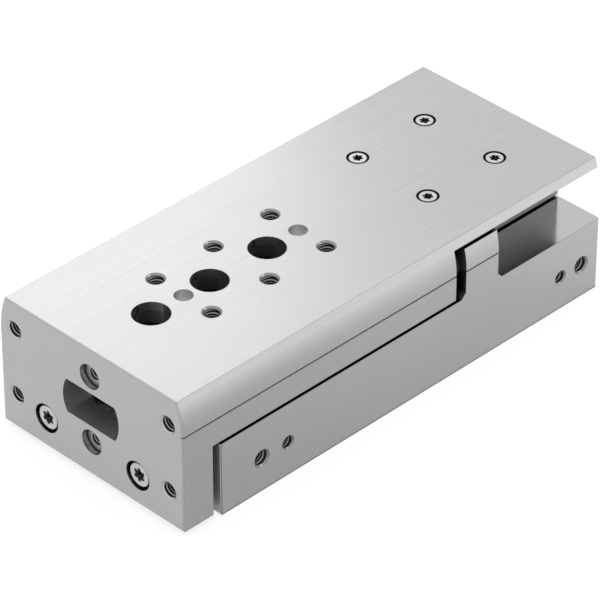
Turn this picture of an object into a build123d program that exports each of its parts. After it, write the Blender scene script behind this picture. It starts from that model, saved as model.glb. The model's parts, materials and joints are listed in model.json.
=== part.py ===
"""Pneumatic slide table: twin pistons push a one-piece table and yoke along a rail on the housing.

Millimetres. +X is the way the table runs out, +Y the flank with the air ports, +Z up. The origin is
the centre of the footprint, on the mounting face, with the table drawn in. A station is a distance
along X from the nearer end of the piece that it lies in.
"""
import os
from math import cos, radians, sin, sqrt

from build123d import *

# Overall sizes
housing_length = 137.5
housing_width = 66.0
yoke_thickness = 10.0
yoke_gap = 2.3
overall_height = 39.8
stroke = 50.0

# Clearances
thread_play = 0.02
seat_play = 0.02
rod_play = 0.03
seal_play = 0.04
piston_play = 0.10
guide_ring_play = 0.05
stop_play = 0.05
sliding_gap = 0.6
edge_break = 0.3

# Shared side profile of table and housing
flank_step = 0.35
side_arc_radius = 26.0
groove_drop = 10.0
groove_depth = 0.35
groove_half_height = 0.25

# Housing section
floor_wall = 2.0
roof_wall = 2.8
channel_depth = 1.0
channel_room = 1.0
rail_recess = 4.3
stop_block_side_gap = 0.6
stop_block_play = 0.65
stop_block_length = 12.0
stop_block_gap = 3.25
foot_chamfer = 1.5

# Table section
yoke_underside = 1.3
skirt_length = 85.8
skirt_thickness = 12.0
skirt_corner = 2.0
plate_thickness = 6.3
wing_thickness = 2.7
rib_wall = 2.0
carriage_side_gap = 0.4

# Guide rail and carriage
rail_width = 15.0
rail_height = 10.0
rail_end_margin = 0.6
rail_top_chamfer = 0.8
rail_first_hole = 8.0
rail_hole_pitch = 40.0
rail_hole_radius = 1.75
rail_bore_radius = 3.0
rail_bore_depth = 4.5
ball_radius = 1.5875
ball_groove_radius = 1.65
ball_height = 6.6
ball_inset = 0.6
ball_pitch = 3.3
ball_end_play = 0.1
carriage_width = 32.0
carriage_lift = 4.0
carriage_steel_length = 43.4
carriage_inset = 1.7
carriage_crown = 0.4
end_cap_length = 6.2
end_cap_inset = 0.2
end_seal_length = 1.5
end_seal_inset = 0.5
rail_wrap_play = 0.3
seal_wrap_play = 0.1
side_seal_width = 2.3
side_seal_height = 0.6
carriage_hole_pitch = 25.0
carriage_thread_depth = 4.2

# Pistons, rods and their bearings
bore_radius = 8.0
bore_end_room = 1.0
rod_radius = 4.0
spigot_radius = 2.5
piston_length = 14.0
piston_seal_width = 2.4
piston_seal_depth = 2.0
piston_land = 0.8
magnet_width = 3.0
magnet_depth = 2.6
magnet_inset = 0.5
guide_ring_width = 2.0
guide_ring_depth = 0.7
nut_width = 8.0
nut_height = 3.2
nut_recess_depth = 3.6
nut_recess_radius = 5.0
cushion_length = 3.5
cushion_radius = 6.5
bore_lip = 1.2
snap_ring_thickness = 1.0
snap_ring_bite = 0.4
snap_ring_width = 1.4
snap_ring_opening = 60.0
snap_ring_ear = 1.3
snap_ring_ear_hole = 0.6
cap_web = 0.8
cap_web_play = 0.3
cap_port_land = 0.3
rod_seal_length = 3.8
rod_seal_height = 2.4
rod_seal_notch = 0.8
bush_wall = 1.2
o_ring_radius = 0.75
o_ring_groove_width = 2.0
o_ring_groove_floor = 0.1

# Stop bumpers in the raised blocks
bumper_stem_radius = 3.0
bumper_stem_length = 4.0
bumper_head_radius = 4.0
bumper_edge = 0.5

# Threads: core and mouth radius, full radius of the screw
mouth_angle = 90.0
m3_screw_radius = 1.5
m4_core_radius = 1.65
m4_mouth_radius = 2.05
m4_screw_radius = 2.0
m5_core_radius = 2.1
m5_mouth_radius = 2.6
m5_screw_radius = 2.5

# Screws
m3_head_radius = 2.75
m3_head_height = 2.0
m3_clearance_radius = 1.7
m3_head_bore_radius = 3.0
m3_head_sink = 0.1
m3_socket_radius = 1.4
m3_socket_valley = 1.02
m3_socket_depth = 1.2
m4_head_radius = 3.5
m4_head_height = 2.8
m4_clearance_radius = 2.2
m4_head_bore_radius = 4.1
m4_head_sink = 0.5
m4_socket_radius = 1.97
m4_socket_valley = 1.42
m4_socket_depth = 1.6
head_chamfer = 0.25
lobe_count = 6
lobe_half_angle = 14.0
lobe_shoulder_share = 0.55
carriage_screw_length = 8.0
rod_screw_length = 16.0
rod_thread_spare = 1.2
rail_screw_length = 10.0
rail_thread_spare = 0.5
rail_head_height = 3.0
plug_length = 4.5
plug_socket_width = 2.5
plug_socket_depth = 2.0
plug_sink = 0.5

# Air ports and passages
front_port_station = 14.05
rear_port_station = 6.4
port_thread_depth = 5.5
passage_radius = 1.5

# Mounting holes of the table, on the top face
table_row_station = 31.9
table_row_pitch = 20.0
table_row_count = 3
table_row_width = 20.0
access_hole_radius = 5.0
access_hole_offset = 11.0
dowel_radius = 2.5
dowel_depth = 3.0
dowel_spacing = 40.0

# Front face of the yoke
yoke_thread_edge = 5.15
yoke_pattern_height = 20.0
yoke_pattern_rise = 0.85
yoke_thread_depth = 8.0
centring_radius = 3.5
centring_depth = 1.8
window_radius = 10.0
window_height = 10.0
window_corner = 0.8
window_pocket_depth = 2.6
window_pocket_half_width = 12.0
window_pocket_half_height = 7.0
window_pocket_corner = 3.0

# Mounting holes of the housing
flank_thread_front = 23.1
flank_thread_rear = 14.4
flank_thread_wall = 1.5
base_thread_station = 33.6
base_thread_spacing = 80.0
base_thread_edge = 4.5
base_thread_depth = 7.5
base_centring_depth = 1.8

# Sensor slots in the far flank
slot_radius = 1.6
slot_mouth = 2.2
slot_sink = 2.0
slot_rise = 0.5
slot_pitch = 6.0
slot_count = 2

# Stations and heights that follow from the sizes above
total_length = yoke_thickness + yoke_gap + housing_length
front_x = total_length / 2
rear_x = -total_length / 2
housing_front_x = rear_x + housing_length
yoke_back_x = front_x - yoke_thickness
skirt_end_x = yoke_back_x - skirt_length
block_front_x = skirt_end_x - stop_block_gap
block_rear_x = block_front_x - stop_block_length
housing_half = housing_width / 2
table_half = housing_half - flank_step
bore_y = housing_half / 2
bore_height = floor_wall + bore_radius
channel_floor = bore_height + bore_radius + roof_wall
flank_top = channel_floor + channel_depth
rail_seat = flank_top - rail_recess
skirt_bottom = flank_top + sliding_gap
skirt_inner = table_half - skirt_thickness
table_underside = overall_height - plate_thickness
wing_underside = overall_height - wing_thickness
stop_block_top = wing_underside - stop_block_play
groove_height = overall_height - groove_drop
channel_half_width = carriage_width / 2 + channel_room
rib_inner = carriage_width / 2 + carriage_side_gap
rib_half_width = rib_inner + rib_wall
stop_block_inner = rib_half_width + stop_block_side_gap
slot_height = bore_height + slot_rise
front_port_x = housing_front_x - front_port_station
rear_port_x = rear_x + rear_port_station
flank_thread_xs = (housing_front_x - flank_thread_front, rear_x + flank_thread_rear)
flank_thread_depth = housing_half - bore_y - bore_radius - flank_thread_wall
snap_ring_x = housing_front_x - bore_lip
cap_front_x = snap_ring_x - snap_ring_thickness
cap_rear_x = front_port_x + passage_radius + cap_port_land
piston_front_x = cap_rear_x - stop_play - stroke - cushion_length
piston_rear_x = piston_front_x - piston_length
bore_end_x = piston_rear_x - bore_end_room
rail_front_x = housing_front_x - rail_end_margin
rail_rear_x = rear_x + rail_end_margin
rail_length = rail_front_x - rail_rear_x
rail_hole_count = int((rail_length - rail_first_hole - rail_bore_radius) // rail_hole_pitch) + 1
rail_hole_xs = [rail_front_x - rail_first_hole - i * rail_hole_pitch for i in range(rail_hole_count)]
rail_hole_points = [(x, 0) for x in rail_hole_xs]
rail_top = rail_seat + rail_height
ball_axis_y = rail_width / 2 + ball_inset
ball_axis_z = rail_seat + ball_height
carriage_inner = ball_axis_y + ball_inset
carriage_length = carriage_steel_length + 2 * (end_cap_length + end_seal_length)
carriage_x = rear_x + carriage_inset + carriage_length / 2
carriage_bottom = rail_seat + carriage_lift
carriage_height = table_underside - carriage_bottom
steel_half = carriage_steel_length / 2
yoke_centre_z = (yoke_underside + overall_height) / 2 + yoke_pattern_rise
yoke_thread_width = 2 * (table_half - yoke_thread_edge)
table_row_xs = [front_x - table_row_station - i * table_row_pitch for i in range(table_row_count)]
access_points = [(x + access_hole_offset, 0) for x in table_row_xs]
dowel_points = [(table_row_xs[0], 0), (table_row_xs[0] - dowel_spacing, 0)]
table_thread_points = [(x, side * table_row_width / 2) for x in table_row_xs for side in (1, -1)]
carriage_screw_reach = carriage_hole_pitch / 2
carriage_screw_points = [
    (carriage_x + i * carriage_screw_reach, j * carriage_screw_reach) for i in (1, -1) for j in (1, -1)
]
rod_points = [(side * bore_y, bore_height) for side in (1, -1)]
base_thread_x = housing_front_x - base_thread_station
base_xs = (base_thread_x, base_thread_x - base_thread_spacing)
base_thread_width = 2 * (housing_half - base_thread_edge)
sides = (("left", 1), ("right", -1))

top_face = Plane.XY.offset(overall_height)
base_face = Plane(origin=(0, 0, 0), x_dir=(1, 0, 0), z_dir=(0, 0, -1))
front_face = Plane.YZ.offset(front_x)
housing_face = Plane.YZ.offset(housing_front_x)
rear_face = Plane(origin=(rear_x, 0, 0), x_dir=(0, -1, 0), z_dir=(-1, 0, 0))
port_face = Plane.ZX.offset(housing_half)


def side_y(half_width, height):
    """Half width of the side profile at a height: upright to the groove, then arched inwards."""
    rise = max(height - groove_height, 0)
    return half_width - side_arc_radius + sqrt(side_arc_radius**2 - rise**2)


def side_outline(half_width, bottom, top):
    """Section through both arched sides, between two heights; across is Y and up is Z."""
    foot = max(bottom, groove_height)
    middle = (foot + top) / 2
    with BuildSketch() as outline:
        with BuildLine():
            Line((0, top), (0, bottom))
            Line((0, bottom), (side_y(half_width, bottom), bottom))
            if bottom < groove_height:
                Line((half_width, bottom), (half_width, groove_height))
            ThreePointArc(
                (side_y(half_width, foot), foot),
                (side_y(half_width, middle), middle),
                (side_y(half_width, top), top),
            )
            Line((side_y(half_width, top), top), (0, top))
        make_face()
        mirror(about=Plane.YZ)
    return outline.sketch


def run_along(section, start_x, end_x, mode=Mode.ADD):
    """Stand a flat section upright, across the table, and extrude it between two stations."""
    extrude(Plane.YZ.offset(min(start_x, end_x)) * section, amount=abs(end_x - start_x), mode=mode)


def cut_side_groove(half_width, start_x, end_x):
    """Cut the fine V groove along both flanks."""
    with BuildSketch() as notch:
        with BuildLine():
            Polyline(
                (half_width + groove_depth, groove_height + 2 * groove_half_height),
                (half_width - groove_depth, groove_height),
                (half_width + groove_depth, groove_height - 2 * groove_half_height),
                close=True,
            )
        make_face()
        mirror(about=Plane.YZ)
    run_along(notch.sketch, start_x, end_x, Mode.SUBTRACT)


def drill(face, points, radius, depth):
    """Cut round holes from a face against its normal."""
    with BuildSketch(face) as rings:
        with Locations(*points):
            Circle(radius)
    extrude(rings.sketch, amount=-depth, mode=Mode.SUBTRACT)


def tap(face, points, core_radius, mouth_radius, depth):
    """Cut threaded holes at their core size, each with a chamfered mouth."""
    with Locations(*(face.location * Pos(u, v) for u, v in points)):
        CounterSinkHole(core_radius, mouth_radius, depth, counter_sink_angle=mouth_angle)


def turn(centre_y, centre_z, outline, mode=Mode.ADD):
    """Revolve an outline of (x, radius) points about an axis along X."""
    plane = Plane(origin=(0, centre_y, centre_z), x_dir=(1, 0, 0), z_dir=(0, -1, 0))
    with BuildSketch(plane) as profile:
        with BuildLine():
            Polyline(*outline, close=True)
        make_face()
    revolve(profile.sketch, axis=Axis((0, centre_y, centre_z), (1, 0, 0)), mode=mode)


def ring_outline(start_x, end_x, inner, outer):
    """Corners of a plain ring's profile."""
    return [(start_x, inner), (start_x, outer), (end_x, outer), (end_x, inner)]


def lobed_socket(outer, valley):
    """Six-lobed socket outline: round lobes joined by hollow arcs."""
    lobe_step = 360 / lobe_count
    shoulder = valley + (outer - valley) * lobe_shoulder_share

    def at(radius, angle):
        return (radius * cos(radians(angle)), radius * sin(radians(angle)))

    with BuildSketch() as socket:
        with BuildLine():
            for lobe in range(lobe_count):
                tip = lobe * lobe_step
                lobe_start = at(shoulder, tip - lobe_half_angle)
                lobe_end = at(shoulder, tip + lobe_half_angle)
                next_start = at(shoulder, tip + lobe_step - lobe_half_angle)
                ThreePointArc(lobe_start, at(outer, tip), lobe_end)
                ThreePointArc(lobe_end, at(valley, tip + lobe_step / 2), next_start)
        make_face()
    return socket.sketch


def socket_screw(head_radius, head_height, shank_radius, length, socket, socket_depth):
    """Low-head screw along Z: the head's face at the origin, the shank downwards."""
    with BuildPart() as screw:
        Cylinder(head_radius, head_height, align=(Align.CENTER, Align.CENTER, Align.MAX))
        chamfer(screw.edges().group_by(Axis.Z)[-1], head_chamfer)
        with Locations((0, 0, -head_height)):
            Cylinder(shank_radius, length, align=(Align.CENTER, Align.CENTER, Align.MAX))
        chamfer(screw.edges().group_by(Axis.Z)[0], head_chamfer)
        extrude(socket, amount=-socket_depth, mode=Mode.SUBTRACT)
    return screw.part


os.makedirs("parts", exist_ok=True)

# Rail profile, shared by the rail, the end seals and the carriage's ends
with BuildSketch() as rail_section:
    with Locations((0, rail_seat)):
        Rectangle(rail_width, rail_height, align=(Align.CENTER, Align.MIN))
    chamfer(rail_section.vertices().group_by(Axis.Y)[-1], rail_top_chamfer)
    with Locations((ball_axis_y, ball_axis_z), (-ball_axis_y, ball_axis_z)):
        Circle(ball_groove_radius, mode=Mode.SUBTRACT)

# Housing: base body with the carriage channel, the rail groove and the sensor slots
with BuildPart() as housing:
    with BuildSketch() as body_section:
        Rectangle(housing_width, flank_top, align=(Align.CENTER, Align.MIN))
        with Locations((0, flank_top)):
            Rectangle(2 * channel_half_width, 2 * channel_depth, mode=Mode.SUBTRACT)
            Rectangle(rail_width + 2 * seat_play, 2 * (flank_top - rail_seat), mode=Mode.SUBTRACT)
        for i in range(slot_count):
            with Locations((-housing_half + slot_sink, slot_height + i * slot_pitch)):
                Circle(slot_radius, mode=Mode.SUBTRACT)
            with Locations((-housing_half, slot_height + i * slot_pitch)):
                Rectangle(2 * slot_sink, slot_mouth, mode=Mode.SUBTRACT)
    run_along(body_section.sketch, rear_x, housing_front_x)

    # Raised stop blocks on both flanks, in line with the table's skirts
    with BuildSketch() as block_section:
        add(side_outline(housing_half, flank_top, stop_block_top))
        Rectangle(2 * stop_block_inner, 2 * stop_block_top, mode=Mode.SUBTRACT)
    run_along(block_section.sketch, block_rear_x, block_front_x)
    foot_edges = [
        edge
        for edge in housing.edges().filter_by(Axis.Y)
        if abs(edge.center().Z - flank_top) < edge_break
        and min(abs(edge.center().X - block_front_x), abs(edge.center().X - block_rear_x)) < edge_break
    ]
    chamfer(foot_edges, foot_chamfer)
    cut_side_groove(housing_half, block_rear_x, block_front_x)

    # Broken outer edges at both ends
    end_rims = housing.faces().filter_by(Axis.X).sort_by(Axis.X)
    rim_edges = [
        edge
        for face in (end_rims[0], end_rims[-1])
        for edge in face.outer_wire().edges()
        if abs(edge.center().Z) < edge_break or edge.center().Y > housing_half - edge_break
    ]
    chamfer(rim_edges, edge_break)

    # Piston bores from the front, each with the groove of its retaining ring
    drill(housing_face, rod_points, bore_radius, housing_front_x - bore_end_x)
    drill(Plane.YZ.offset(snap_ring_x), rod_points, bore_radius + snap_ring_bite, snap_ring_thickness)

    # Ports in the flank, passages across both bores and back to the spare ports
    port_points = [(bore_height, front_port_x), (bore_height, rear_port_x)]
    tap(port_face, port_points, m5_core_radius, m5_mouth_radius, port_thread_depth)
    drill(port_face, port_points, passage_radius, housing_half + bore_y)
    drill(rear_face, rod_points, passage_radius, bore_end_x - rear_x)
    drill(rear_face, rod_points, m5_screw_radius + thread_play, plug_length + plug_sink)

    # Mounting threads and centring bores
    flank_points = [(bore_height, x) for x in flank_thread_xs]
    tap(port_face, flank_points, m4_core_radius, m4_mouth_radius, flank_thread_depth)
    base_points = [(x, side * base_thread_width / 2) for x in base_xs for side in (1, -1)]
    tap(base_face, base_points, m5_core_radius, m5_mouth_radius, base_thread_depth)
    drill(base_face, [(x, 0) for x in base_xs], centring_radius, base_centring_depth)

    # Threads of the rail screws and pockets of the stop bumpers
    rail_thread_depth = rail_bore_depth + rail_screw_length - rail_height + rail_thread_spare
    drill(Plane.XY.offset(rail_seat), rail_hole_points, m3_screw_radius + thread_play, rail_thread_depth)
    bumper_y = (skirt_inner + table_half) / 2
    bumper_z = (flank_top + foot_chamfer + stop_block_top) / 2
    bumper_points = [(side * bumper_y, bumper_z) for side in (1, -1)]
    drill(Plane.YZ.offset(block_front_x), bumper_points, bumper_stem_radius + seat_play, bumper_stem_length)
housing.part.label = "housing"
export_step(housing.part, "parts/housing.step")

# Slide table and yoke in one piece
with BuildPart() as slide_table:
    run_along(side_outline(table_half, wing_underside, overall_height), rear_x, skirt_end_x)

    # Thick middle of the rear part, with a thin wall down each side of the carriage
    with BuildSketch() as rib_section:
        with Locations((0, skirt_bottom)):
            Rectangle(2 * rib_half_width, wing_underside - skirt_bottom, align=(Align.CENTER, Align.MIN))
            Rectangle(2 * rib_inner, 2 * (table_underside - skirt_bottom), mode=Mode.SUBTRACT)
    run_along(rib_section.sketch, rear_x, skirt_end_x)

    # Skirts down both flanks ahead of the stop blocks, and the yoke
    with BuildSketch() as skirt_section:
        add(side_outline(table_half, skirt_bottom, overall_height))
        with BuildSketch(mode=Mode.SUBTRACT) as hollow:
            with Locations((0, table_underside)):
                Rectangle(
                    2 * skirt_inner,
                    2 * (table_underside - skirt_bottom),
                    align=(Align.CENTER, Align.MAX),
                )
            fillet(hollow.vertices().group_by(Axis.Y)[-1], skirt_corner)
    run_along(skirt_section.sketch, skirt_end_x, yoke_back_x)
    run_along(side_outline(table_half, yoke_underside, overall_height), yoke_back_x, front_x)
    cut_side_groove(table_half, skirt_end_x, front_x)
    chamfer(slide_table.faces().sort_by(Axis.X)[-1].outer_wire().edges(), edge_break)

    # Hole pattern of the top face
    table_thickness = overall_height - table_underside
    drill(top_face, access_points, access_hole_radius, table_thickness)
    drill(top_face, dowel_points, dowel_radius, dowel_depth)
    tap(top_face, table_thread_points, m5_core_radius, m5_mouth_radius, table_thickness)
    drill(top_face, carriage_screw_points, m3_clearance_radius, table_thickness)
    drill(top_face, carriage_screw_points, m3_head_bore_radius, m3_head_sink + m3_head_height)

    # Hole pattern of the yoke: corner threads, centring bores and the seats of the rod screws
    yoke_heights = [yoke_centre_z + side * yoke_pattern_height / 2 for side in (1, -1)]
    corner_points = [(side * yoke_thread_width / 2, z) for z in yoke_heights for side in (1, -1)]
    tap(front_face, corner_points, m5_core_radius, m5_mouth_radius, yoke_thread_depth)
    centring_points = [(0, z) for z in yoke_heights]
    drill(front_face, centring_points, centring_radius, centring_depth)
    drill(front_face, centring_points, m4_core_radius, yoke_thread_depth)
    drill(front_face, rod_points, m4_head_bore_radius, m4_head_sink + m4_head_height)
    drill(front_face, rod_points, m4_clearance_radius, yoke_thickness)

    # Window: a round hole cut off by two flats, with a relief behind it
    with BuildSketch(front_face) as window:
        with Locations((0, yoke_centre_z)):
            Circle(window_radius)
            Rectangle(2 * window_radius, window_height, mode=Mode.INTERSECT)
        fillet(window.vertices(), window_corner)
    extrude(amount=-yoke_thickness, mode=Mode.SUBTRACT)
    with BuildSketch(Plane.YZ.offset(yoke_back_x)) as relief:
        with Locations((0, yoke_centre_z)):
            RectangleRounded(
                2 * window_pocket_half_width, 2 * window_pocket_half_height, window_pocket_corner
            )
    extrude(amount=window_pocket_depth, mode=Mode.SUBTRACT)
slide_table.part.label = "slide_table"
export_step(slide_table.part, "parts/slide_table.step")

# Guide rail
with BuildPart() as guide_rail:
    run_along(rail_section.sketch, rail_rear_x, rail_front_x)
    with Locations(*(Pos(x, y, rail_top) for x, y in rail_hole_points)):
        CounterBoreHole(rail_hole_radius, rail_bore_radius, rail_bore_depth, rail_height)
guide_rail.part.label = "guide_rail"
export_step(guide_rail.part, "parts/guide_rail.step")

# Carriage: steel block with a ball groove along each side of the rail
with BuildPart() as carriage_block:
    with BuildSketch() as block_profile:
        with Locations((0, carriage_bottom)):
            Rectangle(carriage_width, carriage_height, align=(Align.CENTER, Align.MIN))
        chamfer(block_profile.vertices(), carriage_crown)
        with Locations((0, carriage_bottom)):
            Rectangle(
                2 * carriage_inner,
                2 * (rail_top + carriage_crown - carriage_bottom),
                mode=Mode.SUBTRACT,
            )
            Rectangle(
                2 * (carriage_inner + side_seal_width), 2 * side_seal_height, mode=Mode.SUBTRACT
            )
        with Locations((ball_axis_y, ball_axis_z), (-ball_axis_y, ball_axis_z)):
            Circle(ball_groove_radius, mode=Mode.SUBTRACT)
    run_along(block_profile.sketch, carriage_x - steel_half, carriage_x + steel_half)
    drill(
        Plane.XY.offset(table_underside),
        carriage_screw_points,
        m3_screw_radius + thread_play,
        carriage_thread_depth,
    )
carriage_block.part.label = "carriage_block"
export_step(carriage_block.part, "parts/carriage_block.step")

# End caps of the carriage, and the wiping seals outside them
for end, sign in (("front", 1), ("rear", -1)):
    inner_x = carriage_x + sign * steel_half
    outer_x = inner_x + sign * end_cap_length
    with BuildPart() as end_cap:
        with BuildSketch() as cap_profile:
            with Locations((0, carriage_bottom + end_cap_inset)):
                Rectangle(
                    carriage_width - 2 * end_cap_inset,
                    carriage_height - 2 * end_cap_inset,
                    align=(Align.CENTER, Align.MIN),
                )
            chamfer(cap_profile.vertices(), carriage_crown)
            with Locations((0, carriage_bottom)):
                Rectangle(
                    rail_width + 2 * rail_wrap_play,
                    2 * (rail_top + rail_wrap_play - carriage_bottom),
                    mode=Mode.SUBTRACT,
                )
        run_along(cap_profile.sketch, inner_x, outer_x)
    end_cap.part.label = f"{end}_end_cap"
    export_step(end_cap.part, f"parts/{end}_end_cap.step")

    with BuildPart() as end_seal:
        with BuildSketch() as seal_profile:
            with Locations((0, carriage_bottom + end_seal_inset)):
                Rectangle(
                    carriage_width - 2 * end_seal_inset,
                    carriage_height - 2 * end_seal_inset,
                    align=(Align.CENTER, Align.MIN),
                )
            chamfer(seal_profile.vertices(), carriage_crown)
            offset(rail_section.sketch, amount=seal_wrap_play, kind=Kind.INTERSECTION, mode=Mode.SUBTRACT)
        run_along(seal_profile.sketch, outer_x, outer_x + sign * end_seal_length)
    end_seal.part.label = f"{end}_end_seal"
    export_step(end_seal.part, f"parts/{end}_end_seal.step")

# Long seals under the carriage, one each side of the rail
with BuildPart() as side_seals:
    with BuildSketch() as seal_strips:
        for side in (1, -1):
            inner_edge = rail_width / 2 + seal_wrap_play
            outer_edge = carriage_inner + side_seal_width
            with Locations((side * (inner_edge + outer_edge) / 2, carriage_bottom)):
                Rectangle(outer_edge - inner_edge, side_seal_height, align=(Align.CENTER, Align.MIN))
    run_along(seal_strips.sketch, carriage_x - steel_half, carriage_x + steel_half)
side_seals.part.label = "side_seals"
export_step(side_seals.part, "parts/side_seals.step")

# Loaded balls between the rail's and the carriage's grooves, a row on each side of the rail
row_half = steel_half - ball_radius - ball_end_play
row_count = int(2 * row_half / ball_pitch) + 1
row_xs = [row_half * (2 * i / (row_count - 1) - 1) for i in range(row_count)]
for name, side in sides:
    with BuildPart() as balls:
        with Locations(*(Pos(carriage_x + x, side * ball_axis_y, ball_axis_z) for x in row_xs)):
            Sphere(ball_radius)
    balls.part.label = f"{name}_balls"
    export_step(balls.part, f"parts/{name}_balls.step")

# Screws with six-lobed sockets
small_socket = lobed_socket(m3_socket_radius, m3_socket_valley)
large_socket = lobed_socket(m4_socket_radius, m4_socket_valley)
carriage_screw = socket_screw(
    m3_head_radius, m3_head_height, m3_screw_radius, carriage_screw_length, small_socket, m3_socket_depth
)
rail_screw = socket_screw(
    m3_head_radius, rail_head_height, m3_screw_radius, rail_screw_length, small_socket, m3_socket_depth
)
rod_screw = socket_screw(
    m4_head_radius, m4_head_height, m4_screw_radius, rod_screw_length, large_socket, m4_socket_depth
)

with BuildPart() as carriage_screws:
    with Locations(*(Pos(x, y, overall_height - m3_head_sink) for x, y in carriage_screw_points)):
        add(carriage_screw)
carriage_screws.part.label = "carriage_screws"
export_step(carriage_screws.part, "parts/carriage_screws.step")

with BuildPart() as rail_screws:
    rail_head_top = rail_top - rail_bore_depth + rail_head_height
    with Locations(*(Pos(x, y, rail_head_top) for x, y in rail_hole_points)):
        add(rail_screw)
rail_screws.part.label = "rail_screws"
export_step(rail_screws.part, "parts/rail_screws.step")

with BuildPart() as rod_screws:
    with Locations(*(Pos(front_x - m4_head_sink, y, z) * Rot(0, 90, 0) for y, z in rod_points)):
        add(rod_screw)
rod_screws.part.label = "rod_screws"
export_step(rod_screws.part, "parts/rod_screws.step")

# Screw plugs in the spare ports of the rear face
with BuildPart() as port_plugs:
    drill_plane = Plane(origin=(rear_x + plug_sink, 0, 0), x_dir=(0, -1, 0), z_dir=(-1, 0, 0))
    with BuildSketch(drill_plane) as plug_rounds:
        with Locations(*rod_points):
            Circle(m5_screw_radius)
    extrude(amount=-plug_length)
    chamfer(port_plugs.edges().filter_by(GeomType.CIRCLE), head_chamfer)
    with BuildSketch(drill_plane) as plug_sockets:
        with Locations(*rod_points):
            RegularPolygon(plug_socket_width / 2, 6, major_radius=False)
    extrude(amount=-plug_socket_depth, mode=Mode.SUBTRACT)
port_plugs.part.label = "port_plugs"
export_step(port_plugs.part, "parts/port_plugs.step")

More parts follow.
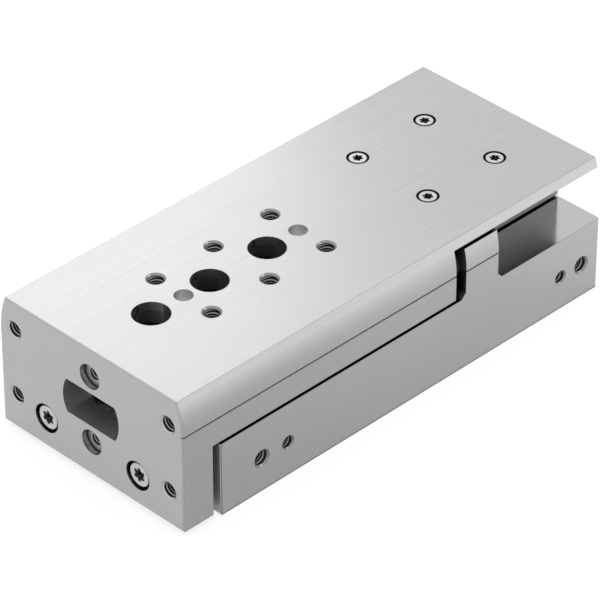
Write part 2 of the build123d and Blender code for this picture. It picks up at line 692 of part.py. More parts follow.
# Pistons, rods and bearings, one set for each bore
cap_radius = bore_radius - seat_play
piston_radius = bore_radius - piston_play
rod_seal_front = cap_front_x - cap_web
rod_seal_rear = rod_seal_front - rod_seal_length
bush_radius = rod_radius + rod_play + bush_wall
front_seal_x = piston_front_x - piston_land
magnet_x = front_seal_x - piston_seal_width - piston_land
guide_ring_x = magnet_x - magnet_width - piston_land
rear_seal_x = piston_rear_x + piston_land + piston_seal_width
nut_seat_x = piston_rear_x + nut_recess_depth
for name, side in sides:
    y = side * bore_y
    axis_plane = Plane(origin=(yoke_back_x, y, bore_height), x_dir=(0, 1, 0), z_dir=(1, 0, 0))

    with BuildPart() as piston_rod:
        turn(y, bore_height, [
            (yoke_back_x, 0),
            (yoke_back_x, rod_radius),
            (piston_front_x, rod_radius),
            (piston_front_x, spigot_radius),
            (nut_seat_x - nut_height, spigot_radius),
            (nut_seat_x - nut_height, 0),
        ])
        thread_length = m4_head_sink + m4_head_height + rod_screw_length - yoke_thickness + rod_thread_spare
        drill(axis_plane, [(0, 0)], m4_screw_radius + thread_play, thread_length)
        chamfer(piston_rod.edges().filter_by(GeomType.CIRCLE).sort_by(Axis.X)[0], edge_break)
    piston_rod.part.label = f"{name}_piston_rod"
    export_step(piston_rod.part, f"parts/{name}_piston_rod.step")

    with BuildPart() as piston:
        piston_blank = ring_outline(piston_rear_x, piston_front_x, spigot_radius + seat_play, piston_radius)
        turn(y, bore_height, piston_blank)
        for start_x, width, depth in (
            (front_seal_x, piston_seal_width, piston_seal_depth),
            (magnet_x, magnet_width, magnet_depth),
            (guide_ring_x, guide_ring_width, guide_ring_depth),
            (rear_seal_x, piston_seal_width, piston_seal_depth),
        ):
            groove = ring_outline(start_x - width, start_x, piston_radius - depth, bore_radius)
            turn(y, bore_height, groove, Mode.SUBTRACT)
        turn(y, bore_height, [
            (piston_rear_x, 0),
            (piston_rear_x, nut_recess_radius),
            (nut_seat_x, nut_recess_radius),
            (nut_seat_x, 0),
        ], Mode.SUBTRACT)
    piston.part.label = f"{name}_piston"
    export_step(piston.part, f"parts/{name}_piston.step")

    # Lip seals: a ring with a V notch that the air spreads
    for place, open_x, sign in (("front", front_seal_x, 1), ("rear", rear_seal_x - piston_seal_width, -1)):
        back_x = open_x - sign * (piston_seal_width - seat_play)
        floor_radius = piston_radius - piston_seal_depth + seat_play
        lip_radius = bore_radius - seal_play
        notch_radius = (floor_radius + lip_radius) / 2
        mouth_x = open_x - sign * seat_play
        with BuildPart() as piston_seal:
            turn(y, bore_height, [
                (back_x, floor_radius),
                (back_x, lip_radius - piston_play),
                (mouth_x, lip_radius),
                (mouth_x, lip_radius - edge_break),
                ((mouth_x + back_x) / 2, notch_radius),
                (mouth_x, floor_radius + edge_break),
                (mouth_x, floor_radius),
            ])
        piston_seal.part.label = f"{name}_{place}_piston_seal"
        export_step(piston_seal.part, f"parts/{name}_{place}_piston_seal.step")

    with BuildPart() as magnet:
        turn(y, bore_height, ring_outline(
            magnet_x - magnet_width + seat_play,
            magnet_x - seat_play,
            piston_radius - magnet_depth + seat_play,
            piston_radius - magnet_inset,
        ))
    magnet.part.label = f"{name}_magnet"
    export_step(magnet.part, f"parts/{name}_magnet.step")

    with BuildPart() as guide_ring:
        turn(y, bore_height, ring_outline(
            guide_ring_x - guide_ring_width + seat_play,
            guide_ring_x - seat_play,
            piston_radius - guide_ring_depth + seat_play,
            bore_radius - guide_ring_play,
        ))
    guide_ring.part.label = f"{name}_guide_ring"
    export_step(guide_ring.part, f"parts/{name}_guide_ring.step")

    with BuildPart() as cushion:
        turn(y, bore_height, ring_outline(
            piston_front_x, piston_front_x + cushion_length, rod_radius + seat_play, cushion_radius
        ))
        chamfer(cushion.edges().filter_by(GeomType.CIRCLE).sort_by(Axis.X)[-2:], edge_break)
    cushion.part.label = f"{name}_cushion"
    export_step(cushion.part, f"parts/{name}_cushion.step")

    with BuildPart() as bearing_cap:
        turn(y, bore_height, [
            (cap_front_x, rod_radius + cap_web_play),
            (cap_front_x, cap_radius),
            (cap_rear_x, cap_radius),
            (cap_rear_x, bush_radius + seat_play),
            (rod_seal_rear, bush_radius + seat_play),
            (rod_seal_rear, rod_radius + rod_seal_height + seat_play),
            (rod_seal_front, rod_radius + rod_seal_height + seat_play),
            (rod_seal_front, rod_radius + cap_web_play),
        ])
        groove_x = (rod_seal_rear + cap_rear_x) / 2 + o_ring_groove_width / 2
        groove_floor = cap_radius - 2 * o_ring_radius + o_ring_groove_floor
        turn(y, bore_height, ring_outline(
            groove_x - o_ring_groove_width, groove_x, groove_floor, bore_radius
        ), Mode.SUBTRACT)
    bearing_cap.part.label = f"{name}_bearing_cap"
    export_step(bearing_cap.part, f"parts/{name}_bearing_cap.step")

    with BuildPart() as o_ring:
        ring_plane = Plane(origin=(0, y, bore_height), x_dir=(1, 0, 0), z_dir=(0, -1, 0))
        with BuildSketch(ring_plane) as cord:
            with Locations((groove_x - o_ring_groove_width / 2, (groove_floor + bore_radius) / 2)):
                Circle((bore_radius - groove_floor) / 2 - seat_play)
        revolve(axis=Axis((0, y, bore_height), (1, 0, 0)))
    o_ring.part.label = f"{name}_cap_o_ring"
    export_step(o_ring.part, f"parts/{name}_cap_o_ring.step")

    with BuildPart() as rod_bush:
        turn(y, bore_height, ring_outline(cap_rear_x, rod_seal_rear, rod_radius + rod_play, bush_radius))
    rod_bush.part.label = f"{name}_rod_bush"
    export_step(rod_bush.part, f"parts/{name}_rod_bush.step")

    with BuildPart() as rod_seal:
        inner = rod_radius + seal_play
        outer = rod_radius + rod_seal_height
        turn(y, bore_height, [
            (rod_seal_front - seat_play, inner + rod_seal_notch),
            (rod_seal_front - seat_play, outer),
            (rod_seal_rear + seat_play, outer),
            (rod_seal_rear + seat_play, (inner + outer) / 2 + rod_seal_notch / 2),
            (rod_seal_rear + rod_seal_length / 2, (inner + outer) / 2),
            (rod_seal_rear + seat_play, (inner + outer) / 2 - rod_seal_notch / 2),
            (rod_seal_rear + seat_play, inner),
            (rod_seal_rear + rod_seal_length / 2, inner + seal_play),
            (rod_seal_front - seat_play - rod_seal_notch, inner),
        ])
    rod_seal.part.label = f"{name}_rod_seal"
    export_step(rod_seal.part, f"parts/{name}_rod_seal.step")

    # Retaining ring: open at the bottom, an eared end each side of the opening
    with BuildPart() as retaining_ring:
        ring_outer = bore_radius + snap_ring_bite - seat_play
        ear_circle = bore_radius + snap_ring_bite / 2 - snap_ring_ear
        with BuildSketch(Plane(origin=(snap_ring_x, y, bore_height), x_dir=(0, 1, 0), z_dir=(1, 0, 0))):
            Circle(ring_outer)
            Circle(bore_radius - snap_ring_width, mode=Mode.SUBTRACT)
            opening = [
                (2 * bore_radius * sin(radians(angle)), -2 * bore_radius * cos(radians(angle)))
                for angle in (-snap_ring_opening / 2, snap_ring_opening / 2)
            ]
            with BuildLine():
                Polyline((0, 0), *opening, close=True)
            make_face(mode=Mode.SUBTRACT)
            ear_points = [
                (i * ear_circle * sin(radians(snap_ring_opening / 2)),
                 -ear_circle * cos(radians(snap_ring_opening / 2)))
                for i in (1, -1)
            ]
            with Locations(*ear_points):
                Circle(snap_ring_ear)
                Circle(snap_ring_ear_hole, mode=Mode.SUBTRACT)
        extrude(amount=-snap_ring_thickness)
    retaining_ring.part.label = f"{name}_retaining_ring"
    export_step(retaining_ring.part, f"parts/{name}_retaining_ring.step")

    # Stop bumper: its stem in the raised block, its head against the end of the skirt
    with BuildPart() as stop_bumper:
        head_front_x = skirt_end_x - stop_play
        turn(side * bumper_y, bumper_z, [
            (block_front_x - bumper_stem_length + seat_play, 0),
            (block_front_x - bumper_stem_length + seat_play, bumper_stem_radius),
            (block_front_x, bumper_stem_radius),
            (block_front_x, bumper_head_radius),
            (head_front_x - bumper_edge, bumper_head_radius),
            (head_front_x, bumper_head_radius - bumper_edge),
            (head_front_x, 0),
        ])
    stop_bumper.part.label = f"{name}_stop_bumper"
    export_step(stop_bumper.part, f"parts/{name}_stop_bumper.step")

# Nuts that hold the pistons on the rods
with BuildPart() as piston_nuts:
    with BuildSketch(Plane.YZ.offset(nut_seat_x)) as nut_faces:
        with Locations(*rod_points):
            RegularPolygon(nut_width / 2, 6, major_radius=False)
            Circle(spigot_radius + thread_play, mode=Mode.SUBTRACT)
    extrude(amount=-nut_height)
piston_nuts.part.label = "piston_nuts"
export_step(piston_nuts.part, "parts/piston_nuts.step")
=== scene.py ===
"""Looks of the slide table: brushed aluminium, ground steel and a pale studio, in metres."""
import json
import math

import bpy
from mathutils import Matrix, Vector


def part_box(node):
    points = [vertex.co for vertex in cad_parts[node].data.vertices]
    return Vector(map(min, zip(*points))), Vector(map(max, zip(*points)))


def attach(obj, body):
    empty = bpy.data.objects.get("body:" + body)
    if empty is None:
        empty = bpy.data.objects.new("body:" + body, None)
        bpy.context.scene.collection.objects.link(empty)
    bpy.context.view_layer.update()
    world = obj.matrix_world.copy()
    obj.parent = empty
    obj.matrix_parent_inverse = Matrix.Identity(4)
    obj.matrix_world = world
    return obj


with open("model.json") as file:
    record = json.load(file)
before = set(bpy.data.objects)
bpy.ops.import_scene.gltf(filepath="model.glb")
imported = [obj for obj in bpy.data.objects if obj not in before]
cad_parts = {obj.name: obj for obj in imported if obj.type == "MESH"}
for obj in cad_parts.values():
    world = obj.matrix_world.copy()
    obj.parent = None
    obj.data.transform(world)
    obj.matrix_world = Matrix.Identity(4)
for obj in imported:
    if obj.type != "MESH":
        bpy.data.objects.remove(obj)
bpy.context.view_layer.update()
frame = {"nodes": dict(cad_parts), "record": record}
nodes = frame["nodes"]
mounts = {mount["name"]: mount for mount in frame["record"]["mounts"]}
MM = 0.001

# Planes of the table, and how far masks stand off from the faces that they divide
TABLE_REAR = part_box("slide_table")[0][0]
TABLE_FRONT, TABLE_SIDE, TABLE_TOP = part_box("slide_table")[1]
YOKE_THICKNESS = 10.0 * MM
MASK_MARGIN = 0.1 * MM

# Camera: a long lens that looks down at the front corner of the port flank, from 35 degrees above
CAMERA_PLACE = (0.64119, 0.63825, 0.66158)
CAMERA_TARGET = (0.00447, 0.00214, 0.020)
CAMERA_LENS = 260.8
CAMERA_SENSOR = 36.0
CAMERA_CLIP = (0.01, 50.0)

# Floor and sky, with the glow of the floor that the camera sees and the least that metal sees
WHITE = (1.0, 1.0, 1.0)
FLOOR_SIZE = 6.0
FLOOR_DROP = 0.05 * MM
FLOOR_TONE = 0.30
FLOOR_ROUGHNESS = 0.9
FLOOR_GLOW = 0.78
FLOOR_SHINE = 0.40
SKY_LIGHT = 1.0

# The glow that metal sees changes along this way over the floor: start, end and gain of each ramp
SHINE_WAY = (-0.7071, 0.7071, 0.0)
SHINE_RAMPS = ((0.0, 0.13, 0.20), (0.08, 0.35, 0.50), (-0.028, -0.036, 0.23))

# Soft lamps: name, azimuth and elevation in degrees, distance and size in metres, watts
LAMP_TARGET = (0.0, 0.0, 0.02)
LAMPS = (
    ("key", 247, 45, 0.45, 0.3, 0.092),
    ("key_low", 247, 25, 0.45, 0.3, 0.122),
    ("key_wide", 247, 40, 0.90, 0.5, 0.065),
)

# Painted line along sharp edges, shade or highlight by the tone that each finish gives it: reach, and
# the flatness over which it fades
EDGE_REACH = 0.30 * MM
EDGE_BAND = (0.93, 0.998)
EDGE_SAMPLES = 4

# Shade in deep holes and in grooves: reach of each, and the open shares over which it fades
HOLE_REACH = 10.0 * MM
HOLE_SHARES = (0.20, 0.48)
GROOVE_REACH = 0.6 * MM
GROOVE_SHARES = (0.62, 0.95)
CREVICE_TONE = 0.10
CREVICE_SAMPLES = 8

# Faces by how far they look along X: milled faces, and walls and chamfers of holes behind a plane,
# which take painted shade
CUT_BAND = (0.80, 0.97)
WALL_BAND = (0.10, 0.95)
WALL_FRONT = TABLE_FRONT - 0.7 * MM
WALL_SHADE = 0.60
FINE_ROUGHNESS = 0.45

# Front of the housing: plane just behind it, painted lighter tone and least roughness
FRONT_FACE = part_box("housing")[1][0] - MASK_MARGIN
FRONT_LIGHT_AND_FINISH = (1.25, 0.60)

# Hollow under the table: box, share of a face's normal that counts as up, painted shade tone and least
# roughness
YOKE_BACK = TABLE_FRONT - YOKE_THICKNESS - MASK_MARGIN
HOLLOW_SIDE = TABLE_SIDE - 1.75 * MM
HOLLOW_ROOF = TABLE_TOP - 2.5 * MM
HOLLOW_LOW = (TABLE_REAR - MASK_MARGIN, -HOLLOW_SIDE, 0.0)
HOLLOW_HIGH = (YOKE_BACK, HOLLOW_SIDE, HOLLOW_ROOF)
HOLLOW_UP = 0.5
HOLLOW_SHADE_AND_FINISH = (0.70, 0.50)

# Window through the yoke: box, tone and least roughness
YOKE_FRONT = TABLE_FRONT - MASK_MARGIN
WINDOW_LEVEL = mounts["yoke_centring"]["pos_m"][2]
WINDOW_HALF = 14.5 * MM
WINDOW_RISE = 6.0 * MM
WINDOW_LOW = (YOKE_BACK, -WINDOW_HALF, WINDOW_LEVEL - WINDOW_RISE)
WINDOW_HIGH = (YOKE_FRONT, WINDOW_HALF, WINDOW_LEVEL + WINDOW_RISE)
WINDOW_FINISH = (0.95, 0.50)

# Reamed seats in the table's top, painted with a highlight whose walls fade to painted shade from one
# side along X to the other
SEAT_MARGIN = 0.05 * MM
SEAT_RADIUS = mounts["table_dowels"]["dims"]["hole_r_mm"] * MM + SEAT_MARGIN
SEAT_DEPTH = 3.0 * MM
SEAT_FLOOR = TABLE_TOP - SEAT_DEPTH - MASK_MARGIN
SEAT_HIGHLIGHT = 1.65
SEAT_SHADE = 0.40
SEAT_TURN = (-0.7, 0.5)

# Heads of the carriage screws: radii of the head and of its face, outside which the rim takes painted
# shade, and lean of its chamfers
HEAD_RADIUS = 2.75 * MM
HEAD_FACE_RADIUS = 2.28 * MM
CHAMFER_BAND = (0.12, 0.26)

# Noise of each finish: cells to a millimetre along X and across it, and detail
NOISE_ROUGHNESS = 0.55
BRUSH_LINES = (0.018, 2.6, 4.0)
BRUSH_STREAKS = (0.008, 0.8, 3.0)
BRUSH_CLOUD = (0.05, 0.05, 2.0)
BRUSH_GRAIN = (7.0, 7.0, 2.0)
TURNED_RINGS = (9.0, 0.15, 3.0)
TURNED_GRAIN = (6.0, 6.0, 2.0)
FORGED_CLOUD = (0.8, 0.8, 4.0)
FORGED_PITS = (14.0, 14.0, 2.0)
MOULDED_CLOUD = (0.12, 0.12, 3.0)
MOULDED_DETAIL = 3.0

# The band that the values of one noise fill, and those of the mixes and sums of two
NOISE_BAND = (0.3, 0.7)
TURNED_BAND = (0.35, 0.65)
FORGED_BAND = (0.5, 1.0)
SUM_BAND = (0.7, 1.3)

# Contrast of tone and roughness, tone of the painted line along the edges and depth of the bump of each
# finish
BRUSHED_CONTRAST = 0.016
BRUSHED_CLOUDING = 0.012
BRUSHED_ROUGHENING = 0.05
BRUSHED_ON_CUTS = 0.15
BRUSHED_GRAIN_SHARE = 0.15
BRUSHED_EDGE_SHADE = 0.55
BRUSHED_DEPTH = 0.0012 * MM
TURNED_RING_SHARE = 0.7
TURNED_GRAIN_SHARE = 0.3
TURNED_ROUGHENING = 0.25
TURNED_EDGE_HIGHLIGHT = 1.12
TURNED_DEPTH = 0.0008 * MM
FORGED_CONTRAST = 0.10
FORGED_PIT_SHARE = 0.5
FORGED_ROUGHENING = 0.3
FORGED_EDGE_HIGHLIGHT = 1.15
FORGED_DEPTH = 0.0015 * MM
MOULDED_ROUGHENING = 0.15
MOULDED_EDGE_HIGHLIGHT = 1.3
MOULDED_DEPTH = 0.004 * MM

# Thread ridges: core radius, pitch and height of each size
THREADS = {
    "M4": (1.65 * MM, 0.70 * MM, 0.20 * MM),
    "M5": (2.10 * MM, 0.80 * MM, 0.24 * MM),
}

# Ridges: steps of a turn and of the fade at an end, seat in the wall, and places in shares of the pitch
THREAD_STEPS = 20
FADE_STEPS = 10
THREAD_SEAT = 0.02 * MM
THREAD_LEAD = 0.5
THREAD_CREST = 0.10
THREAD_ROOT = 0.36

# Where threads start below a chamfered mouth, and how deep they reach
THREAD_MOUTH = 0.55 * MM
YOKE_THREAD_DEPTH = 8.0 * MM
FLANK_THREAD_DEPTH = 7.0 * MM
PORT_THREAD_DEPTH = 5.5 * MM
BASE_THREAD_DEPTH = 7.5 * MM
CENTRING_DEPTH = 1.8 * MM


def grey(value, warmth=0.0):
    """A neutral colour, a little warmer or cooler."""
    return (value * (1 + warmth), value, value * (1 - warmth))


def add_object(name, data, place, way=None, facing="-Z"):
    """A new object in the scene, with one of its own axes turned along a way if one is given."""
    thing = bpy.data.objects.new(name, data)
    thing.location = place
    if way is not None:
        thing.rotation_euler = way.to_track_quat(facing, "Y").to_euler()
    bpy.context.scene.collection.objects.link(thing)
    return thing


def in_plane(axis):
    """The two axes along which a pattern on a face is measured."""
    along_x, along_y, along_z = Vector((1, 0, 0)), Vector((0, 1, 0)), Vector((0, 0, 1))
    if round(axis.z):
        return along_x, along_y
    if round(axis.x):
        return along_y, along_z
    return along_x, along_z


def pattern_points(mount):
    """Centres of a mount's holes, on its face."""
    place = Vector(mount["pos_m"])
    across, up = in_plane(Vector(mount["axis"]))
    wide = mount["dims"].get("spacing_x_mm", 0) * MM / 2
    high = mount["dims"].get("spacing_y_mm", 0) * MM / 2
    columns = (-1, 1) if wide else (0,)
    rows = (-1, 1) if high else (0,)
    return [place + i * wide * across + j * high * up for i in columns for j in rows]


class Graph:
    """Short forms for building a node material. A mask is one where it holds and nought elsewhere."""

    def __init__(self, name):
        self.material = bpy.data.materials.new(name)
        self.material.use_nodes = True
        self.tree = self.material.node_tree
        self.shader = self.tree.nodes["Principled BSDF"]
        self.coordinates = self.add("ShaderNodeTexCoord")

    def add(self, kind, **values):
        node = self.tree.nodes.new(kind)
        for key, value in values.items():
            setattr(node, key, value)
        return node

    def link(self, source, target):
        self.tree.links.new(source, target)

    def feed(self, socket, value):
        """Give a socket a plain number or another node's output."""
        if isinstance(value, (int, float)):
            socket.default_value = value
        else:
            self.link(value, socket)

    def math(self, operation, *values):
        node = self.add("ShaderNodeMath", operation=operation)
        for socket, value in zip(node.inputs, values):
            self.feed(socket, value)
        return node.outputs["Value"]

    def dot(self, first, second):
        node = self.add("ShaderNodeVectorMath", operation="DOT_PRODUCT")
        self.link(first, node.inputs[0])
        self.link(second, node.inputs[1])
        return node.outputs["Value"]

    def remap(self, value, low, high, start=0.0, end=1.0):
        """Low up to the start of a band of values, high beyond its end."""
        remap = self.add("ShaderNodeMapRange")
        remap.inputs["From Min"].default_value = start
        remap.inputs["From Max"].default_value = end
        self.feed(remap.inputs["To Min"], low)
        self.feed(remap.inputs["To Max"], high)
        self.link(value, remap.inputs["Value"])
        return remap.outputs["Result"]

    def vary(self, value, middle, swing, band):
        """A tone or roughness that swings about its middle as a noise runs through its band."""
        return self.remap(value, middle * (1 - swing), middle * (1 + swing), *band)

    def noise(self, along, across, detail):
        """Noise with so many cells to a millimetre along X and across it."""
        mapping = self.add("ShaderNodeMapping")
        mapping.inputs["Scale"].default_value = (along / MM, across / MM, across / MM)
        self.link(self.coordinates.outputs["Object"], mapping.inputs["Vector"])
        texture = self.add("ShaderNodeTexNoise")
        texture.inputs["Scale"].default_value = 1.0
        texture.inputs["Detail"].default_value = detail
        texture.inputs["Roughness"].default_value = NOISE_ROUGHNESS
        self.link(mapping.outputs["Vector"], texture.inputs["Vector"])
        return texture.outputs["Fac"]

    def axes(self, kind):
        """The three parts of the place or the normal in the object's own frame."""
        split = self.add("ShaderNodeSeparateXYZ")
        self.link(self.coordinates.outputs[kind], split.inputs["Vector"])
        return [split.outputs[axis] for axis in "XYZ"]

    def edges(self):
        """Mask of sharp edges."""
        bevel = self.add("ShaderNodeBevel", samples=EDGE_SAMPLES)
        bevel.inputs["Radius"].default_value = EDGE_REACH
        geometry = self.add("ShaderNodeNewGeometry")
        flatness = self.dot(bevel.outputs["Normal"], geometry.outputs["Normal"])
        return self.remap(flatness, 1.0, 0.0, *EDGE_BAND)

    def openness(self, reach, shares):
        """Painted shade: dark where little of the room within reach is open, one in the open."""
        nearby = self.add("ShaderNodeAmbientOcclusion", samples=CREVICE_SAMPLES)
        nearby.inputs["Distance"].default_value = reach
        return self.remap(nearby.outputs["AO"], CREVICE_TONE, 1.0, *shares)

    def painted_edges_and_shade(self, painted_edge_tone, deep=True):
        """Painted tone along the edges, and painted shade in narrow gaps and grooves, and in deep holes
        if asked.
        """
        crevice = self.openness(GROOVE_REACH, GROOVE_SHARES)
        if deep:
            crevice = self.math("MINIMUM", self.openness(HOLE_REACH, HOLE_SHARES), crevice)
        return self.math("MULTIPLY", self.remap(self.edges(), 1.0, painted_edge_tone), crevice)

    def at_least(self, roughness, mask, least):
        """A roughness that is raised to a least value inside a mask."""
        return self.math("MAXIMUM", roughness, self.remap(mask, 0.0, least))

    def cut_face(self):
        """Mask of faces across X, which are milled and not brushed."""
        return self.remap(self.math("ABSOLUTE", self.axes("Normal")[0]), 0.0, 1.0, *CUT_BAND)

    def walls(self):
        """Mask of walls and chamfers that look partly along X, up to a plane in the yoke."""
        low, high = WALL_BAND
        along = self.math("ABSOLUTE", self.axes("Normal")[0])
        above = self.math("GREATER_THAN", along, low)
        turned = self.math("MULTIPLY", above, self.math("LESS_THAN", along, high))
        behind = self.math("LESS_THAN", self.axes("Object")[0], WALL_FRONT)
        return self.math("MULTIPLY", turned, behind)

    def inside_box(self, low, high):
        """Mask of the room between two corners."""
        sides = []
        for place, least, most in zip(self.axes("Object"), low, high):
            sides.append(self.math("GREATER_THAN", place, least))
            sides.append(self.math("LESS_THAN", place, most))
        inside = sides[0]
        for side in sides[1:]:
            inside = self.math("MULTIPLY", inside, side)
        return inside

    def square(self, value, middle):
        """The square of a distance from a middle value."""
        return self.math("POWER", self.math("SUBTRACT", value, middle), 2.0)

    def seats(self, first, second):
        """Mask of the two round seats with these centres, from their lip down."""
        x, y, z = self.axes("Object")
        rounds = []
        for point in (first, second):
            apart = self.math("ADD", self.square(x, point.x), self.square(y, point.y))
            rounds.append(self.math("LESS_THAN", apart, SEAT_RADIUS ** 2))
        below = self.math("LESS_THAN", z, first.z - SEAT_MARGIN)
        inside = self.math("MULTIPLY", self.math("ADD", *rounds), below)
        return self.math("MULTIPLY", inside, self.math("GREATER_THAN", z, SEAT_FLOOR))

    def head_chamfers(self):
        """Mask of faces that lean halfway over, along X or Z."""
        slopes = []
        for part in self.axes("Normal")[::2]:
            lean = self.math("SUBTRACT", self.math("ABSOLUTE", part), math.sqrt(0.5))
            slopes.append(self.remap(self.math("ABSOLUTE", lean), 1.0, 0.0, *CHAMFER_BAND))
        return self.math("MAXIMUM", *slopes)

    def head_rims(self):
        """Mask of the outer rings of the four carriage screws' heads."""
        low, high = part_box("carriage_screws")
        place = self.axes("Object")
        squares = []
        for axis in range(2):
            middle = (low[axis] + high[axis]) / 2
            aside = self.math("ABSOLUTE", self.math("SUBTRACT", place[axis], middle))
            squares.append(self.square(aside, high[axis] - middle - HEAD_RADIUS))
        outer = self.math("GREATER_THAN", self.math("ADD", *squares), HEAD_FACE_RADIUS ** 2)
        return self.math("MULTIPLY", outer, self.math("GREATER_THAN", place[2], high[2] - HEAD_RADIUS))

    def finish(self, colour, tone, roughness, metallic, height, depth):
        """Set the shader's colour, roughness, metallic share and bump, and give the material."""
        scaled = self.add("ShaderNodeVectorMath", operation="SCALE")
        scaled.inputs[0].default_value = colour
        self.link(tone, scaled.inputs["Scale"])
        self.link(scaled.outputs["Vector"], self.shader.inputs["Base Color"])
        self.link(roughness, self.shader.inputs["Roughness"])
        self.shader.inputs["Metallic"].default_value = metallic
        bump = self.add("ShaderNodeBump")
        bump.inputs["Strength"].default_value = 1.0
        bump.inputs["Distance"].default_value = depth
        self.link(height, bump.inputs["Height"])
        self.link(bump.outputs["Normal"], self.shader.inputs["Normal"])
        return self.material


def housing_zones(g, tone, roughness):
    """The housing's front, painted lighter and more matt than its other faces."""
    front = g.math("GREATER_THAN", g.axes("Object")[0], FRONT_FACE)
    pale, least = FRONT_LIGHT_AND_FINISH
    return g.remap(front, tone, pale), g.at_least(roughness, front, least)


def table_zones(g, tone, roughness):
    """Painted shade in the hollow under the table, a plain tone in the window through its yoke, and a
    painted highlight and shade on the seats in its top.
    """
    along, _, up = g.axes("Normal")
    under = g.math("LESS_THAN", up, HOLLOW_UP)
    hollow = g.math("MULTIPLY", g.inside_box(HOLLOW_LOW, HOLLOW_HIGH), under)
    window = g.inside_box(WINDOW_LOW, WINDOW_HIGH)
    lit_seats = g.seats(*pattern_points(mounts["table_dowels"]))
    # Painted shade in the hollow under the table
    tone = g.math("MULTIPLY", tone, g.remap(hollow, 1.0, HOLLOW_SHADE_AND_FINISH[0]))
    tone = g.remap(window, tone, WINDOW_FINISH[0])
    # Painted highlight on the seats' walls that face +X, fading to painted shade on those that face -X
    tone = g.remap(lit_seats, tone, g.remap(along, SEAT_HIGHLIGHT * SEAT_SHADE, SEAT_HIGHLIGHT, *SEAT_TURN))
    roughness = g.at_least(roughness, hollow, HOLLOW_SHADE_AND_FINISH[1])
    roughness = g.at_least(roughness, window, WINDOW_FINISH[1])
    roughness = g.at_least(roughness, lit_seats, FINE_ROUGHNESS)
    return tone, roughness


def brushed_metal(name, colour, roughness, matt, zones=None):
    """Brushed metal: lines and streaks along X, matt cut faces, and painted shade along edges, in
    crevices and on hole walls.
    """
    g = Graph(name)
    lines = g.noise(*BRUSH_LINES)
    streaks = g.noise(*BRUSH_STREAKS)
    cloud = g.noise(*BRUSH_CLOUD)
    grain = g.noise(*BRUSH_GRAIN)
    cut = g.cut_face()
    quiet = g.remap(cut, 1.0, BRUSHED_ON_CUTS)
    brushed = g.remap(g.math("ADD", lines, streaks), -1.0, 1.0, *SUM_BAND)
    change = g.math("MULTIPLY", brushed, quiet)
    clouded = g.vary(cloud, 1.0, BRUSHED_CLOUDING, NOISE_BAND)
    shade = g.math("ADD", g.math("MULTIPLY", change, BRUSHED_CONTRAST), clouded)
    walls = g.walls()
    # Painted shade along edges, in crevices and deep holes, and on hole walls
    tone = g.math("MULTIPLY", g.painted_edges_and_shade(BRUSHED_EDGE_SHADE), g.remap(walls, 1.0, WALL_SHADE))
    least = g.at_least(g.remap(cut, roughness, matt), walls, FINE_ROUGHNESS)
    if zones:
        tone, least = zones(g, tone, least)
    tone = g.math("MULTIPLY", shade, tone)
    rough = g.math("MULTIPLY_ADD", change, BRUSHED_ROUGHENING, least)
    height = g.math("MULTIPLY_ADD", grain, BRUSHED_GRAIN_SHARE, g.math("MULTIPLY", lines, quiet))
    return g.finish(colour, tone, rough, 1.0, height, BRUSHED_DEPTH)


def turned_metal(name, colour, roughness, contrast=0.06):
    """Turned or ground round metal: fine rings along X, a painted highlight along edges and painted
    shade in crevices.
    """
    g = Graph(name)
    rings = g.math("MULTIPLY", g.noise(*TURNED_RINGS), TURNED_RING_SHARE)
    grain = g.math("MULTIPLY", g.noise(*TURNED_GRAIN), TURNED_GRAIN_SHARE)
    both = g.math("ADD", rings, grain)
    shade = g.vary(both, 1.0, contrast, TURNED_BAND)
    # Painted highlight along edges and painted shade in crevices and deep holes
    tone = g.math("MULTIPLY", shade, g.painted_edges_and_shade(TURNED_EDGE_HIGHLIGHT))
    rough = g.vary(both, roughness, TURNED_ROUGHENING, TURNED_BAND)
    return g.finish(colour, tone, rough, 1.0, both, TURNED_DEPTH)


def forged_metal(name, colour, metallic, roughness, painted_edge_tone=FORGED_EDGE_HIGHLIGHT, rim_shade=None):
    """Small hardware: cloudy finish, fine pits, a painted line along edges, painted shade in grooves,
    and painted shade on screw heads' rims if asked.
    """
    g = Graph(name)
    cloud = g.noise(*FORGED_CLOUD)
    pits = g.noise(*FORGED_PITS)
    both = g.math("ADD", cloud, g.math("MULTIPLY", pits, FORGED_PIT_SHARE))
    shade = g.vary(both, 1.0, FORGED_CONTRAST, FORGED_BAND)
    # Painted line along edges by the given tone, and painted shade in grooves
    tone = g.painted_edges_and_shade(painted_edge_tone, deep=False)
    if rim_shade is not None:
        # Painted shade on the rims and chamfers of the screw heads
        rims = g.math("MAXIMUM", g.head_chamfers(), g.head_rims())
        tone = g.math("MULTIPLY", tone, g.remap(rims, 1.0, rim_shade))
    tone = g.math("MULTIPLY", shade, tone)
    rough = g.vary(cloud, roughness, FORGED_ROUGHENING, NOISE_BAND)
    return g.finish(colour, tone, rough, metallic, pits, FORGED_DEPTH)


def moulded(name, colour, roughness, contrast=0.08, cells=4.0):
    """Moulded plastic or rubber: fine eroded grain, mottled tone, a painted highlight along edges."""
    g = Graph(name)
    grain = g.noise(cells, cells, MOULDED_DETAIL)
    cloud = g.noise(*MOULDED_CLOUD)
    shade = g.vary(g.math("ADD", grain, cloud), 1.0, contrast, SUM_BAND)
    # Painted highlight along edges
    tone = g.math("MULTIPLY", shade, g.remap(g.edges(), 1.0, MOULDED_EDGE_HIGHLIGHT))
    rough = g.vary(grain, roughness, MOULDED_ROUGHENING, NOISE_BAND)
    return g.finish(colour, tone, rough, 0.0, grain, MOULDED_DEPTH)


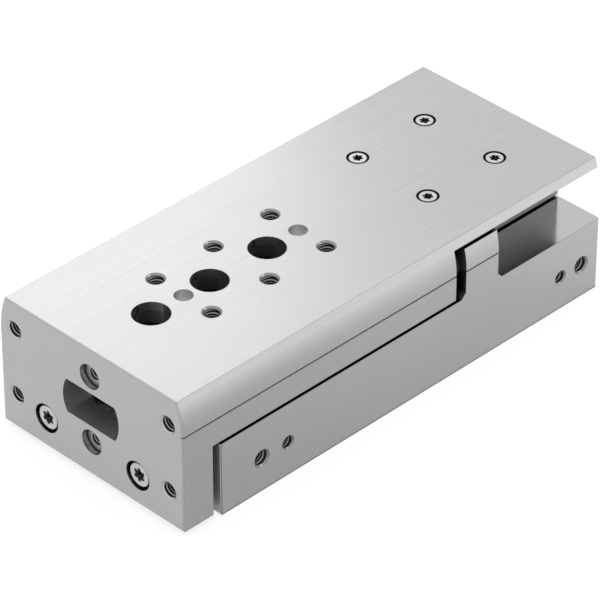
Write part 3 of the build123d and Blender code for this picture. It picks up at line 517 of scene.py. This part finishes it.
MATERIALS = {
    "table_aluminium": brushed_metal("brushed_table", grey(0.52), 0.28, 0.36, table_zones),
    "housing_aluminium": brushed_metal("brushed_housing", grey(0.52), 0.13, 0.34, housing_zones),
    "cap_aluminium": turned_metal("turned_aluminium", grey(0.56), 0.32),
    "guide_steel": brushed_metal("ground_steel", grey(0.45), 0.22, 0.35),
    # Screws: painted shade along edges and on the heads' rims and chamfers
    "screw_steel": forged_metal("screw_steel", grey(0.62), 1.0, 0.26, painted_edge_tone=0.12, rim_shade=0.10),
    "plug_steel": forged_metal("black_steel", grey(0.07), 0.6, 0.42),
    "rod_steel": turned_metal("polished_rod", grey(0.66, -0.01), 0.12, contrast=0.03),
    "ball_steel": turned_metal("ball_steel", grey(0.66), 0.08, contrast=0.02),
    "spring_steel": forged_metal("phosphated_steel", grey(0.07), 0.7, 0.42),
    "bush_bronze": forged_metal("sintered_bronze", (0.42, 0.26, 0.11), 0.9, 0.42),
    "magnet": moulded("bonded_magnet", grey(0.035, 0.05), 0.6, contrast=0.2, cells=9.0),
    "guide_ring_plastic": moulded("guide_ring_plastic", grey(0.55, 0.08), 0.5),
    "end_cap_plastic": moulded("end_cap_plastic", grey(0.03, -0.05), 0.45),
    "seal_rubber": moulded("seal_rubber", grey(0.018), 0.62, contrast=0.15, cells=6.0),
}
# Thread ridges painted darker than the metal they are cut in, as shade inside the holes
SHADED_THREAD_METAL = turned_metal("cut_thread", grey(0.36), 0.35)

for row in frame["record"]["subparts"]:
    slots = nodes[row["node"]].data.materials
    slots.clear()
    slots.append(MATERIALS[row["material_slot"]])


def ridge_section(core, pitch, rise, level):
    """Radius and level of the four corners of a ridge's section, from its foot over its crest."""
    foot = core + THREAD_SEAT
    crest = core - max(rise, THREAD_SEAT)
    corners = ((foot, THREAD_ROOT), (crest, THREAD_CREST), (crest, -THREAD_CREST), (foot, -THREAD_ROOT))
    return [(radius, level + share * pitch) for radius, share in corners]


def ridge_mesh(name, size, start, depth):
    """A helical ridge down a hole that opens along Z, fading out at both ends."""
    core, pitch, height = THREADS[size]
    turns = (depth - start) / pitch - 1
    steps = int(turns * THREAD_STEPS)
    points = []
    for step in range(steps + 1):
        angle = math.tau * step / THREAD_STEPS
        rise = height * min(1.0, step / FADE_STEPS, (steps - step) / FADE_STEPS)
        level = -start - pitch * (THREAD_LEAD + step / THREAD_STEPS)
        section = ridge_section(core, pitch, rise, level)
        points += [(radius * math.cos(angle), radius * math.sin(angle), z) for radius, z in section]
    corners = len(section)
    faces = []
    for first in range(0, corners * steps, corners):
        for k in range(corners):
            after = (k + 1) % corners
            faces.append((first + k, first + after, first + corners + after, first + corners + k))
    faces.append(tuple(reversed(range(corners))))
    faces.append(tuple(range(corners * steps, corners * (steps + 1))))
    mesh = bpy.data.meshes.new(name)
    mesh.from_pydata(points, [], faces)
    mesh.materials.append(SHADED_THREAD_METAL)
    return mesh


def make_threads():
    """Cut threads in the tapped holes that the mounts name, and in the floors of the yoke's seats."""
    table_depth = TABLE_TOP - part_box("carriage_block")[1][2]
    table = ("slide", "table_aluminium")
    housing = ("base", "housing_aluminium")
    rows = (
        ("table_threads", "M5", THREAD_MOUTH, table_depth, table),
        ("table_threads_middle", "M5", THREAD_MOUTH, table_depth, table),
        ("yoke_threads", "M5", THREAD_MOUTH, YOKE_THREAD_DEPTH, table),
        ("yoke_centring", "M4", CENTRING_DEPTH, YOKE_THREAD_DEPTH, table),
        ("base_threads", "M5", THREAD_MOUTH, BASE_THREAD_DEPTH, housing),
        ("flank_threads", "M4", THREAD_MOUTH, FLANK_THREAD_DEPTH, housing),
        ("supply_port_front", "M5", THREAD_MOUTH, PORT_THREAD_DEPTH, housing),
        ("supply_port_rear", "M5", THREAD_MOUTH, PORT_THREAD_DEPTH, housing),
    )
    flank_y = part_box("housing")[1][1]
    for mount_name, size, start, depth, (body, slot) in rows:
        mount = mounts[mount_name]
        for number, point in enumerate(pattern_points(mount), 1):
            # The mount of an air port lies inside its thread, which starts at the flank
            if mount_name.startswith("supply_port"):
                point.y = flank_y
            name = f"{mount_name}_ridge_{number}"
            mesh = ridge_mesh(name, size, start, depth)
            ridge = add_object(name, mesh, point, Vector(mount["axis"]), facing="Z")
            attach(ridge, body)


def floor_paint():
    """Matt paint that is white to the camera and glows for metal, more towards some sides."""
    g = Graph("pale_floor")
    g.shader.inputs["Base Color"].default_value = (*grey(FLOOR_TONE), 1)
    g.shader.inputs["Roughness"].default_value = FLOOR_ROUGHNESS
    g.shader.inputs["Specular IOR Level"].default_value = 0.0
    g.shader.inputs["Emission Color"].default_value = (*WHITE, 1)
    along = g.add("ShaderNodeVectorMath", operation="DOT_PRODUCT")
    along.inputs[1].default_value = SHINE_WAY
    g.link(g.coordinates.outputs["Object"], along.inputs[0])
    shine = FLOOR_SHINE
    for start, end, gain in SHINE_RAMPS:
        shine = g.math("ADD", shine, g.remap(along.outputs["Value"], 0.0, gain, start, end))
    path = g.add("ShaderNodeLightPath")
    glossy = g.math("MULTIPLY", path.outputs["Is Glossy Ray"], shine)
    glow = g.remap(path.outputs["Is Camera Ray"], glossy, FLOOR_GLOW)
    g.link(glow, g.shader.inputs["Emission Strength"])
    return g.material


def make_floor():
    """A plain square floor just under the object, which keeps its shadow."""
    half = FLOOR_SIZE / 2
    corners = [(-half, -half, 0), (half, -half, 0), (half, half, 0), (-half, half, 0)]
    mesh = bpy.data.meshes.new("floor")
    mesh.from_pydata(corners, [], [(0, 1, 2, 3)])
    mesh.materials.append(floor_paint())
    floor = add_object("floor", mesh, (0.0, 0.0, -FLOOR_DROP))


def make_world():
    """Plain white sky, which the metal shows too."""
    world = bpy.data.worlds.new("studio")
    bpy.context.scene.world = world
    world.use_nodes = True
    background = world.node_tree.nodes["Background"]
    background.inputs["Color"].default_value = (*WHITE, 1)
    background.inputs["Strength"].default_value = SKY_LIGHT


def soft_lamp(name, azimuth, elevation, distance, size, power):
    """A square soft lamp at a bearing from the object, pointing at it."""
    light = bpy.data.lights.new(name, "AREA")
    light.shape = "SQUARE"
    light.size = size
    light.energy = power
    turn = math.radians(azimuth)
    lift = math.radians(elevation)
    way = Vector((math.cos(turn) * math.cos(lift), math.sin(turn) * math.cos(lift), math.sin(lift)))
    add_object(name, light, Vector(LAMP_TARGET) + distance * way, -way)


def make_camera():
    """The view of the photograph."""
    data = bpy.data.cameras.new("camera")
    data.lens = CAMERA_LENS
    data.sensor_width = CAMERA_SENSOR
    data.clip_start, data.clip_end = CAMERA_CLIP
    place = Vector(CAMERA_PLACE)
    bpy.context.scene.camera = add_object("camera", data, place, Vector(CAMERA_TARGET) - place)


make_threads()
make_floor()
make_world()
for lamp_row in LAMPS:
    soft_lamp(*lamp_row)
make_camera()
bpy.context.scene.view_settings.view_transform = "Standard"
